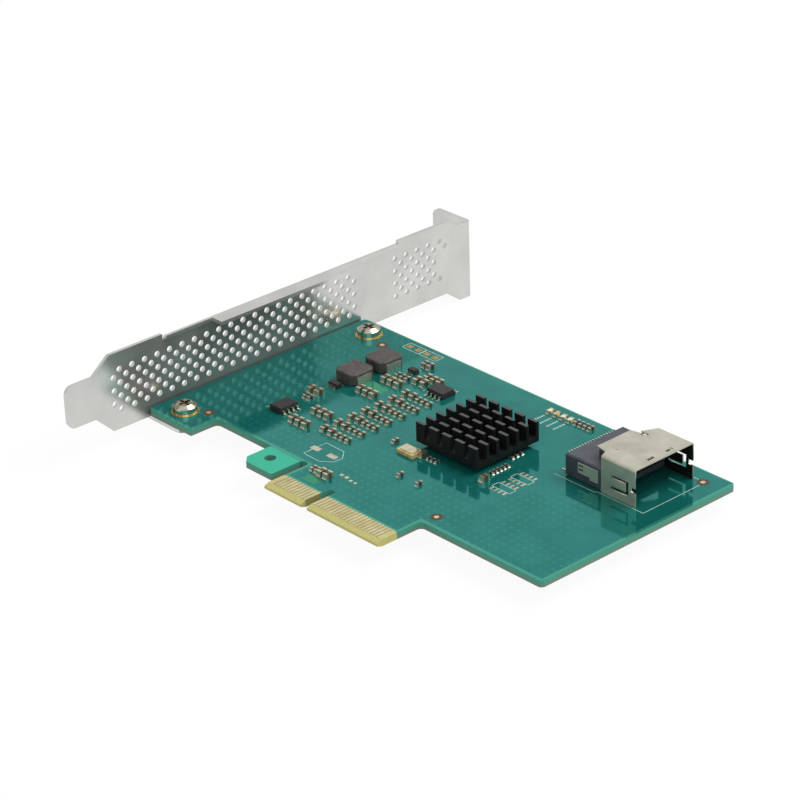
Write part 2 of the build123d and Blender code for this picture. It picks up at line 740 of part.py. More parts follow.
def main():
    """Build every node and write its file."""
    os.makedirs("parts", exist_ok=True)
    save("circuit_board", circuit_board())
    save("contacts_component_side", edge_contacts(1))
    save("contacts_solder_side", edge_contacts(-1))
    save("bracket", bracket())
    save("bracket_screws", [bracket_screw(y) for y in screw_ys])
    save("screw_lands", [screw_land(y) for y in screw_ys])
    save("controller_chip", controller_chip())
    save("thermal_pad", thermal_pad())
    save("heat_sink", heat_sink())
    save("power_inductors", [inductor(y) for y in inductor_ys])
    save("inductor_terminals", [p for y in inductor_ys for p in inductor_terminals(y)])
    save("eight_lead_chips", [c.body() for c in eight_lead_chips])
    save("eight_lead_chip_leads", [w for c in eight_lead_chips for w in c.gull_wings()])
    save("small_leaded_chips", [c.body() for c in small_leaded_chips])
    save("small_chip_leads", [w for c in small_leaded_chips for w in c.gull_wings()])
    bodies, ends = gather(chip_rows)
    save("capacitor_bodies", bodies)
    save("capacitor_ends", ends)
    bodies, ends = gather(resistor_rows)
    side_bodies, side_ends = gather(side_rows, along_x=True)
    save("resistor_bodies", bodies + side_bodies)
    save("resistor_ends", ends + side_ends)
    bodies, ends = gather([led_row])
    save("status_leds", bodies)
    save("status_led_ends", ends)
    save("crystal_base", crystal_base())
    save("crystal_lid", crystal_lid())
    save("socket_shell", socket_shell())
    save("socket_housing", socket_housing())
    save("socket_contacts", socket_contacts())
    save("socket_side_plates", socket_side_plates())
    save("socket_tails", socket_tails())
    dot = extrude(RegularPolygon(fiducial_diameter / 2, fiducial_sides), bare_land_thickness)
    save("fiducials", [Pos(x, y, top) * dot for x, y in fiducials])
    save("header_lands", header_lands())
    save("tinned_lands", tinned_lands())


if __name__ == "__main__":
    main()
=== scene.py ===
"""Looks, light and camera for a low-height adapter card on a full-height bracket."""

import logging
import math
from dataclasses import dataclass, field
from enum import Enum
from typing import Callable, Iterable, Sequence

import bpy
from mathutils import Matrix, Vector


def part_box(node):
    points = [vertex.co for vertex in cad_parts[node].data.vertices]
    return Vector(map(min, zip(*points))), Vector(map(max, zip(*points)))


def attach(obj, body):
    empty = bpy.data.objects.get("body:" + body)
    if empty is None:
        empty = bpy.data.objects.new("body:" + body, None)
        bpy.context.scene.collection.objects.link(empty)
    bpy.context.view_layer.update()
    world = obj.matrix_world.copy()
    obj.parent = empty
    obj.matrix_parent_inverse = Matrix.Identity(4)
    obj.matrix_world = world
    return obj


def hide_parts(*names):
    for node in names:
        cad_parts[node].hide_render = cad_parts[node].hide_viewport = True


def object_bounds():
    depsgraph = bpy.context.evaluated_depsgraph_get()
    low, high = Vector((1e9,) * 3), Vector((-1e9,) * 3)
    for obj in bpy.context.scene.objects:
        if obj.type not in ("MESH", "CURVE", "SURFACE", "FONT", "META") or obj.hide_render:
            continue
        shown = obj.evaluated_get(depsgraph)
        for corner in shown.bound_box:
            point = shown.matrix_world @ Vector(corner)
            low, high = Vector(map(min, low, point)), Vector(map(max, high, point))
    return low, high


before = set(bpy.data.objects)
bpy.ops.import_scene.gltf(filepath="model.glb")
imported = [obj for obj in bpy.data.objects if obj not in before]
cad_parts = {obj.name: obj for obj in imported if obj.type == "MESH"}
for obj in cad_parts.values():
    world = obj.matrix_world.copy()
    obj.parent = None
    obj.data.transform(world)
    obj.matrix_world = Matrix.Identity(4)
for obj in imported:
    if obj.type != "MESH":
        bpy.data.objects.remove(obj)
CAD_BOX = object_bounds()
LOG = logging.getLogger("adapter_card")
MM = 0.001
# Edges sharper than this many degrees stay sharp in the shading and are the ones that bevels break
SHARP_DEGREES = 40
Point = tuple[float, float, float]
# A place on the board, as x and y in millimetres
Spot = tuple[float, float]
# The low and high end of a range
Span = tuple[float, float]
# A rectangle on the board: low x, high x, low y and high y in millimetres
Area = tuple[float, float, float, float]
# What can feed a socket: another socket, or a node, which gives its first output
Source = bpy.types.NodeSocket | bpy.types.Node


def linear(code: str) -> tuple[float, float, float, float]:
    """Turn an sRGB hex colour into linear light.

    Args:
        code: six hex digits, with or without a leading #.

    Returns:
        The linear red, green, blue and alpha.
    """
    digits = code.lstrip("#")
    channels = [int(digits[i:i + 2], 16) / 255 for i in (0, 2, 4)]
    light = [c / 12.92 if c <= 0.04045 else ((c + 0.055) / 1.055) ** 2.4 for c in channels]
    return (*light, 1.0)


def clear_selection() -> None:
    """Leave edit mode and deselect every object."""
    if bpy.context.object is not None and bpy.context.object.mode != "OBJECT":
        bpy.ops.object.mode_set(mode="OBJECT")
    bpy.ops.object.select_all(action="DESELECT")


def activate(piece: bpy.types.Object) -> None:
    """Select one object alone and make it active.

    Args:
        piece: the object.
    """
    clear_selection()
    piece.select_set(True)
    bpy.context.view_layer.objects.active = piece


def settle(piece: bpy.types.Object) -> None:
    """Move an object's place, turn and scale into its mesh."""
    activate(piece)
    bpy.ops.object.transform_apply(location=True, rotation=True, scale=True)


def add_block(low: Point, high: Point) -> bpy.types.Object:
    """Add a cube and stretch it between two corners.

    Args:
        low: lowest corner in millimetres.
        high: highest corner in millimetres.

    Returns:
        The block, with its place in its mesh.
    """
    clear_selection()
    middle = [(a + b) / 2 * MM for a, b in zip(low, high)]
    bpy.ops.mesh.primitive_cube_add(size=1, location=middle)
    block = bpy.context.object
    block.scale = [(b - a) * MM for a, b in zip(low, high)]
    settle(block)
    return block


def use_modifier(piece: bpy.types.Object, kind: str, settings: dict) -> None:
    """Add a modifier with its settings and apply it.

    Args:
        piece: the object to change.
        kind: the modifier's type.
        settings: its attributes.
    """
    activate(piece)
    modifier = piece.modifiers.new(kind.lower(), kind)
    for key, value in settings.items():
        setattr(modifier, key, value)
    bpy.ops.object.modifier_apply(modifier=modifier.name)


class BlockUse(Enum):
    """What a block does to the piece that it meets."""

    CUT = "DIFFERENCE"
    WELD = "UNION"


def carve(piece: bpy.types.Object, low: Point, high: Point, use: BlockUse = BlockUse.CUT) -> None:
    """Cut away a block between two corners, or weld it on.

    Args:
        piece: the object to change.
        low: lowest corner of the block in millimetres.
        high: its highest corner.
        use: whether the block is cut away or welded on.
    """
    block = add_block(low, high)
    use_modifier(piece, "BOOLEAN", {"operation": use.value, "solver": "EXACT", "object": block})
    bpy.data.objects.remove(block)


def twin_of(node: str, name: str) -> bpy.types.Object:
    """Copy a CAD node's mesh as a closed mesh of its own.

    Args:
        node: the node's name.
        name: the new piece's name.

    Returns:
        The copy, with its doubled corners merged.
    """
    piece = bpy.data.objects.new(name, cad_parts[node].data.copy())
    bpy.context.scene.collection.objects.link(piece)
    activate(piece)
    bpy.ops.object.mode_set(mode="EDIT")
    bpy.ops.mesh.select_all(action="SELECT")
    bpy.ops.mesh.remove_doubles(threshold=0.001 * MM)
    bpy.ops.object.mode_set(mode="OBJECT")
    return piece


def soften(piece: bpy.types.Object, width: float) -> None:
    """Break the sharp edges by a width in millimetres, so that they catch the light."""
    use_modifier(piece, "BEVEL", {"width": width * MM, "segments": 2, "limit_method": "ANGLE",
                                  "angle_limit": math.radians(SHARP_DEGREES)})


def select_edges(piece: bpy.types.Object, wanted: Callable[[Vector, Vector], bool]) -> None:
    """Select the edges whose two ends pass a test and enter edit mode on them.

    Args:
        piece: the object to edit.
        wanted: tells from the two ends, in millimetres, whether the edge is selected.
    """
    activate(piece)
    bpy.ops.object.mode_set(mode="EDIT")
    bpy.ops.mesh.select_mode(type="EDGE")
    bpy.ops.mesh.select_all(action="DESELECT")
    bpy.ops.object.mode_set(mode="OBJECT")
    points = [vertex.co / MM for vertex in piece.data.vertices]
    for edge in piece.data.edges:
        edge.select = wanted(*(points[i] for i in edge.vertices))
    bpy.ops.object.mode_set(mode="EDIT")


def solids(node: str) -> list[tuple[Vector, Vector]]:
    """Find the separate solids of a CAD node.

    Args:
        node: the node's name.

    Returns:
        The lowest and highest corner of each solid, in millimetres.
    """
    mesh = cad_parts[node].data
    corners = [tuple(round(c / MM, 3) for c in vertex.co) for vertex in mesh.vertices]
    leader = {corner: corner for corner in corners}

    def lead(corner: Point) -> Point:
        """Follow the chain from a corner to the one that stands for its solid.

        Args:
            corner: a corner of the mesh.

        Returns:
            The corner that stands for the solid.
        """
        while leader[corner] != corner:
            leader[corner] = leader[leader[corner]]
            corner = leader[corner]
        return corner

    for edge in mesh.edges:
        first, second = (lead(corners[i]) for i in edge.vertices)
        leader[first] = second
    groups: dict[Point, list[Point]] = {}
    for corner in leader:
        groups.setdefault(lead(corner), []).append(corner)
    return [(Vector(map(min, zip(*group))), Vector(map(max, zip(*group)))) for group in groups.values()]


def join(pieces: Sequence[bpy.types.Object], name: str) -> bpy.types.Object:
    """Join several meshes into one named piece.

    Args:
        pieces: the meshes, of which the first takes in the others.
        name: the name of the whole.

    Returns:
        The joined piece, with its place in its mesh.
    """
    clear_selection()
    for piece in pieces:
        piece.select_set(True)
    bpy.context.view_layer.objects.active = pieces[0]
    if len(pieces) > 1:
        bpy.ops.object.join()
    whole = bpy.context.object
    whole.name = whole.data.name = name
    settle(whole)
    return whole


def copies(piece: bpy.types.Object, places: Iterable[Matrix], name: str) -> bpy.types.Object:
    """Copy a finished piece to several places and join the copies.

    Args:
        piece: the piece at its own origin, which is removed afterwards.
        places: one transform for each copy.
        name: the name of the joined piece.

    Returns:
        The joined piece.
    """
    made = []
    for place in places:
        twin = bpy.data.objects.new(name, piece.data.copy())
        bpy.context.scene.collection.objects.link(twin)
        twin.matrix_world = place
        made.append(twin)
    bpy.data.objects.remove(piece)
    return join(made, name)


def at(x: float, y: float, z: float = 0.0, turn: float = 0.0) -> Matrix:
    """A place in millimetres with a turn about the vertical in degrees."""
    return Matrix.Translation((x * MM, y * MM, z * MM)) @ Matrix.Rotation(math.radians(turn), 4, "Z")


class Shader:
    """A material or world under construction, with one function that adds its nodes."""

    def __init__(self, name: str, world: bool = False) -> None:
        """Start an empty node tree with an output.

        Args:
            name: the name of the material or world.
            world: whether it is a world.
        """
        self.owner = (bpy.data.worlds if world else bpy.data.materials).new(name)
        self.owner.use_nodes = True
        self.tree = self.owner.node_tree
        self.tree.nodes.clear()
        self.output = self.add("OutputWorld" if world else "OutputMaterial")

    def add(self, kind: str, settings: dict | None = None, values: dict | None = None,
            links: dict | None = None) -> bpy.types.Node:
        """Add one node with its settings, socket values and incoming links.

        Args:
            kind: the node's type name, without its ShaderNode prefix.
            settings: attributes of the node.
            values: socket values by name or number.
            links: sources of the sockets by name or number.

        Returns:
            The new node.
        """
        node = self.tree.nodes.new("ShaderNode" + kind)
        for key, value in (settings or {}).items():
            setattr(node, key, value)
        for key, value in (values or {}).items():
            node.inputs[key].default_value = value
        for key, source in (links or {}).items():
            socket = source.outputs[0] if isinstance(source, bpy.types.Node) else source
            self.tree.links.new(socket, node.inputs[key])
        return node

    def ramp(self, source: Source, positions: Sequence[float], colours: Sequence[str]) -> bpy.types.Node:
        """Add a colour ramp fed by a source.

        Args:
            source: the factor.
            positions: place of each stop along the ramp.
            colours: sRGB hex colour of each stop.

        Returns:
            The ramp node.
        """
        node = self.add("ValToRGB", links={0: source})
        elements = node.color_ramp.elements
        while len(elements) < len(colours):
            elements.new(positions[-1])
        for element, position, code in zip(elements, positions, colours):
            element.position = position
            element.color = linear(code)
        return node

    def math(self, operation: str, *operands: Source | float) -> bpy.types.Node:
        """Add a math node on sources or plain numbers.

        Args:
            operation: the node's operation.
            operands: its one or two operands.

        Returns:
            The math node.
        """
        values = {i: v for i, v in enumerate(operands) if isinstance(v, (int, float))}
        links = {i: v for i, v in enumerate(operands) if not isinstance(v, (int, float))}
        return self.add("Math", {"operation": operation}, values, links)

    def mix(self, share: Source, first: Source | str, second: Source | str) -> bpy.types.NodeSocket:
        """Mix two colours, each a source or an sRGB hex colour.

        Args:
            share: how much of the second colour shows.
            first: the colour where the share is zero.
            second: the colour where the share is one.

        Returns:
            The mixed colour's socket.
        """
        # The Mix node's colours go in at sockets 6 and 7 and come out at 2
        pair = {6: first, 7: second}
        values = {i: linear(c) for i, c in pair.items() if isinstance(c, str)}
        links = {i: c for i, c in pair.items() if not isinstance(c, str)}
        node = self.add("Mix", {"data_type": "RGBA"}, values, {0: share, **links})
        return node.outputs[2]

    def band(self, value: Source, low: float, high: float, soft: float = 0.08) -> bpy.types.Node:
        """One inside a range and zero outside it, with soft ends.

        Args:
            value: the coordinate.
            low: start of the range in millimetres.
            high: its end.
            soft: half the width of each soft end, in millimetres.

        Returns:
            The node that gives the share.
        """
        rising, falling = (self.add("MapRange", {"interpolation_type": "SMOOTHSTEP"},
                                    {"From Min": start * MM, "From Max": end * MM}, {"Value": value})
                           for start, end in ((low - soft, low + soft), (high + soft, high - soft)))
        return self.math("MULTIPLY", rising, falling)

    def region(self, first: Source, second: Source, areas: Sequence[Area],
               soft: float = 0.08) -> bpy.types.Node:
        """One inside any of several rectangles of two coordinates and zero outside them.

        Args:
            first: the coordinate of each rectangle's first two ends.
            second: the coordinate of its last two ends.
            areas: the rectangles.
            soft: half the width of their soft rims, in millimetres.

        Returns:
            The node that gives the share.
        """
        whole = None
        for low, high, base, top in areas:
            part = self.math("MULTIPLY", self.band(first, low, high, soft),
                             self.band(second, base, top, soft))
            whole = part if whole is None else self.math("MAXIMUM", whole, part)
        return whole

    def finish(self, surface: bpy.types.Node) -> bpy.types.Material | bpy.types.World:
        """Connect the surface shader and give back the material or world."""
        self.tree.links.new(surface.outputs[0], self.output.inputs["Surface"])
        return self.owner


class Relief(Enum):
    """How a surface was made, as the size of its grain in millimetres and its depth."""

    SMOOTH = (0.0, 0.0)
    MOULDED = (0.12, 0.004)
    SPARK_ERODED = (0.25, 0.010)
    ROLLED = (0.6, 0.003)
    COLD_ROLLED = (0.5, 0.004)
    PRESSED = (0.18, 0.012)


@dataclass(frozen=True)
class Finish:
    """A plain finish whose colour and gloss wander a little over the surface."""

    name: str
    colours: tuple[str, str]
    roughness: Span
    metallic: float = 0.0
    relief: Relief = Relief.SMOOTH
    patch_mm: float = 3.0
    specular: float = 0.5
    coat: float = 0.0
    spread: Span = (0.32, 0.68)
    detail: float = 3.0

    def start(self) -> tuple[Shader, bpy.types.NodeSocket, bpy.types.Node, dict[str, Source]]:
        """Lay the colour, gloss and relief, on the piece's own object coordinates.

        Returns:
            The material under construction, the place on the piece, the cloud of noise that
            wanders over it, and what feeds the sockets of its surface.
        """
        shader = Shader(self.name)
        place = shader.add("TexCoord").outputs["Object"]
        cloud = shader.add("TexNoise", values={"Scale": 1 / (self.patch_mm * MM), "Detail": self.detail},
                           links={"Vector": place})
        gloss = shader.add("MapRange", values={"To Min": self.roughness[0], "To Max": self.roughness[1]},
                           links={"Value": cloud})
        feeds = {"Base Color": shader.ramp(cloud, self.spread, self.colours), "Roughness": gloss}
        grain_mm, depth_mm = self.relief.value
        if grain_mm:
            grain = shader.add("TexNoise", values={"Scale": 1 / (grain_mm * MM), "Detail": 2.0},
                               links={"Vector": place})
            feeds["Normal"] = shader.add("Bump", values={"Strength": 0.5, "Distance": depth_mm * MM},
                                         links={"Height": grain})
        return shader, place, cloud, feeds

    def end(self, shader: Shader, feeds: dict[str, Source]) -> bpy.types.Material:
        """Add the surface and end the material.

        Args:
            shader: the material under construction.
            feeds: what feeds the sockets of its surface.

        Returns:
            The material.
        """
        values = {"Metallic": self.metallic, "Coat Weight": self.coat}
        if not self.metallic:
            values["Specular IOR Level"] = self.specular
        return shader.finish(shader.add("BsdfPrincipled", values=values, links=feeds))

    def material(self) -> bpy.types.Material:
        """Build the finish as it is."""
        shader, _, _, feeds = self.start()
        return self.end(shader, feeds)


# Nickel flash on screws: bright and mirror-like, faintly warm.
SCREW_NICKEL = Finish("nickel_plated_steel", ("#b9b09c", "#d8d2c2"), (0.14, 0.22), 1.0, patch_mm=1.2)
# Hard gold over nickel: warm, a little dull on the edge contacts.
EDGE_GOLD = Finish("hard_gold", ("#c8bb8a", "#e0d6ab"), (0.26, 0.36), 0.9, patch_mm=2.0)
# Immersion gold on bare lands: redder and smoother.
LAND_GOLD = Finish("immersion_gold", ("#b89a48", "#dcc173"), (0.22, 0.32), 1.0, patch_mm=1.0)
# Gold of the alignment marks: pale and flat.
FIDUCIAL_GOLD = Finish("pale_land_gold", ("#cdb078", "#eedaa4"), (0.3, 0.42), 0.85, patch_mm=0.6)
# Gold on the bare header lands, dulled by flux.
HEADER_GOLD = Finish("dull_land_gold", ("#94814f", "#bca871"), (0.34, 0.48), 0.9, patch_mm=0.8)
# Matt tin on the smallest parts: greyer and less bright than the tinned ends, the darker grey being painted
# shade of the heat sink on the resistors beside it.
SHADED_MATT_TIN = Finish("shaded_matt_tin", ("#9d998c", "#d0cbbc"), (0.4, 0.55), 1.0, patch_mm=0.4)
# Tin-silver solder and tinned ends: bright grey with a dull skin.
TINNED = Finish("tinned_metal", ("#b6b39f", "#e8e4d0"), (0.22, 0.42), 1.0, patch_mm=0.5)
# Epoxy moulding compound: charcoal, finely matt.
MOULDING = Finish("epoxy_moulding_compound", ("#1f1d1e", "#2b2829"), (0.45, 0.6), 0.0,
                  Relief.SPARK_ERODED, 1.0, specular=0.35)
# Pressed iron powder: dark grey-brown, granular.
IRON_POWDER = Finish("pressed_iron_powder", ("#3b3736", "#524c4a"), (0.5, 0.68), 0.0,
                     Relief.PRESSED, 0.8, specular=0.3)
# Barium titanate ceramic: tan to brown, satin.
CAPACITOR_CERAMIC = Finish("barium_titanate", ("#3b3023", "#5e4c37"), (0.4, 0.55), patch_mm=1.5, specular=0.3)
# Glazed resistor film: near black and glossy.
RESISTOR_GLAZE = Finish("resistor_glaze", ("#23262a", "#33373c"), (0.2, 0.35), patch_mm=0.6)
# Glazed alumina of the crystal's base.
CRYSTAL_CERAMIC = Finish("alumina_ceramic", ("#a58e5a", "#cbb47b"), (0.35, 0.5), patch_mm=0.8)
# Seam-welded lid of the crystal: pale, brushed.
CRYSTAL_LID = Finish("plated_lid", ("#c9c0a0", "#e6dfc6"), (0.22, 0.34), 1.0, patch_mm=1.0)
# Glass-filled liquid-crystal polymer: dark blue-grey, satin.
SOCKET_PLASTIC = Finish("liquid_crystal_polymer", ("#2d3037", "#3c4048"), (0.38, 0.52), 0.0,
                        Relief.MOULDED, 2.5)
# Silicone gap pad: mid grey, matt.
GAP_PAD = Finish("silicone_gap_pad", ("#6e7276", "#85898c"), (0.7, 0.85), patch_mm=0.8)
# Laminate seen through a window in the mask: dark brown glass fibre.
BARE_FIBRE = Finish("bare_glass_fibre", ("#2b2618", "#433824"), (0.45, 0.6), patch_mm=0.8)
# Screen-printed epoxy ink: flat, slightly uneven white.
PRINT_INK = Finish("white_legend_ink", ("#93b5ae", "#c4d6d1"), (0.5, 0.65), patch_mm=0.7)


@dataclass(frozen=True)
class ZincSheet:
    """Electrolytic zinc on rolled steel: pale with a soft mirror sheen, with a painted darker reflection of
    the board.

    The painted reflection of the board, a darker and less metallic stretch, lies on the face that looks along
    the card alone. Its lower end leans, as the edge of the board's reflection does.
    """

    sheet: Finish = Finish("zinc_plated_steel", ("#c3c3c0", "#d0d0cd"), (0.18, 0.25), 0.88,
                           Relief.ROLLED, 8.0, detail=4.0)
    # Painted reflection of the board: a darker colour and less metal, in blotches, on the face that looks
    # along the card
    painted_reflection: str = "#7c7976"
    painted_reflection_metallic: float = 0.5
    blotch: Span = (0.35, 0.65)
    least_painted_reflection: float = 0.62
    fade_mm: float = 2.2
    lean: float = 0.55
    far_mm: float = 200.0

    def material(self, reflection_low_mm: float, reflection_high_mm: float) -> bpy.types.Material:
        """Build the finish.

        Args:
            reflection_low_mm: y where the painted reflection of the board starts, at the level of the board.
            reflection_high_mm: y where it ends.

        Returns:
            The material.
        """
        shader, place, cloud, feeds = self.sheet.start()
        _, y, z = shader.add("SeparateXYZ", links={0: place}).outputs
        leaning = shader.math("ADD", y, shader.math("MULTIPLY", z, self.lean))
        stretch = shader.math("MULTIPLY", shader.band(leaning, reflection_low_mm, self.far_mm, self.fade_mm),
                              shader.band(y, -self.far_mm, reflection_high_mm, self.fade_mm))
        # The inner face looks along x, towards the far end of the card
        facing = shader.add("SeparateXYZ", links={0: shader.add("NewGeometry").outputs["Normal"]})
        inner_painted_dark = shader.math("GREATER_THAN", facing.outputs[0], 0.5)
        blotch = shader.add("MapRange", values={"From Min": self.blotch[0], "From Max": self.blotch[1],
                                                "To Min": self.least_painted_reflection}, links={"Value": cloud})
        # Painted reflection of the board: darker colour and less metal where the stretch, the inner face and
        # the blotches meet
        painted_reflection = shader.math("MULTIPLY", shader.math("MULTIPLY", stretch, inner_painted_dark), blotch)
        feeds["Base Color"] = shader.mix(painted_reflection, feeds["Base Color"], self.painted_reflection)
        feeds["Metallic"] = shader.add("MapRange", links={"Value": painted_reflection}, values={
            "To Min": self.sheet.metallic, "To Max": self.painted_reflection_metallic})
        return self.sheet.end(shader, feeds)


@dataclass(frozen=True)
class CageSheet:
    """Nickel silver of the cage: satin with a faint yellow-green cast, with painted shade that makes its
    inside near black.
    """

    sheet: Finish = Finish("nickel_silver_sheet", ("#aba999", "#bdbbac"), (0.36, 0.46), 0.72,
                           Relief.COLD_ROLLED, 4.0, detail=4.0)
    # Painted shade of the cage's inside
    inner_painted_dark: str = "#2b2c29"

    def material(self, middle: Vector) -> bpy.types.Material:
        """Build the finish.

        Args:
            middle: middle of the cage in metres; faces that look towards it are its inside, which takes the
                painted shade.

        Returns:
            The material.
        """
        shader, place, _, feeds = self.sheet.start()
        inwards = shader.add("VectorMath", {"operation": "SUBTRACT"}, {0: middle}, {1: place})
        turned = shader.add("VectorMath", {"operation": "DOT_PRODUCT"},
                            links={0: inwards, 1: shader.add("NewGeometry").outputs["Normal"]})
        # Painted shade: faces that look into the cage turn near black
        inside = shader.math("GREATER_THAN", turned.outputs["Value"], 0.0)
        feeds["Base Color"] = shader.mix(inside, feeds["Base Color"], self.inner_painted_dark)
        return self.sheet.end(shader, feeds)


@dataclass(frozen=True)
class Anodised:
    """Black anodised aluminium: near black, with pin tops that are lighter, partly as bare cut metal and
    partly as a painted highlight.
    """

    skin: Finish = Finish("black_anodised_aluminium", ("#0b0b0c", "#141415"), (0.5, 0.62),
                          patch_mm=2.0, specular=0.18, spread=(0.3, 0.7))
    sawn_and_painted_highlight: str = "#47474a"
    streak_mm: float = 0.35
    streak_depth_mm: float = 0.01
    streak_share: float = 0.08

    def material(self, sawn_above_mm: float) -> bpy.types.Material:
        """Build the finish.

        Args:
            sawn_above_mm: height above which the lighter pin tops, cut bare and with a painted highlight,
                start.

        Returns:
            The material.
        """
        shader, place, _, feeds = self.skin.start()
        height = shader.add("SeparateXYZ", links={0: place}).outputs[2]
        # Lighter pin tops: partly bare cut metal, partly a painted highlight of the overhead light
        tops = shader.math("GREATER_THAN", height, sawn_above_mm * MM)
        feeds["Base Color"] = shader.mix(tops, feeds["Base Color"], self.sawn_and_painted_highlight)
        # Drawn lines run along the extrusion, so the noise is only fine across it
        share = (self.streak_share, 1.0, self.streak_share)
        drawn = shader.add("TexNoise", values={"Scale": 1 / (self.streak_mm * MM), "Detail": 2.0},
                           links={"Vector": shader.add("Mapping", values={"Scale": share},
                                                       links={"Vector": place})})
        feeds["Normal"] = shader.add("Bump", values={"Strength": 0.4, "Distance": self.streak_depth_mm * MM},
                                     links={"Height": drawn})
        return self.skin.end(shader, feeds)


@dataclass(frozen=True)
class DiodeResin:
    """Clear epoxy over the status diodes: milky cream, with one that shines amber through."""

    resin: Finish = Finish("diode_resin", ("#cfc394", "#e9e0bb"), (0.18, 0.3), patch_mm=0.6,
                           coat=0.4, spread=(0.3, 0.7), detail=2.0)
    amber: str = "#d08a35"

    def material(self, amber_low_mm: float, amber_high_mm: float) -> bpy.types.Material:
        """Build the resin.

        Args:
            amber_low_mm: lowest x of the amber diode.
            amber_high_mm: highest x of the amber diode.

        Returns:
            The material.
        """
        shader, place, _, feeds = self.resin.start()
        x = shader.add("SeparateXYZ", links={0: place}).outputs[0]
        chosen = shader.math("MULTIPLY", shader.math("GREATER_THAN", x, amber_low_mm * MM),
                             shader.math("LESS_THAN", x, amber_high_mm * MM))
        feeds["Base Color"] = shader.mix(chosen, feeds["Base Color"], self.amber)
        return self.resin.end(shader, feeds)


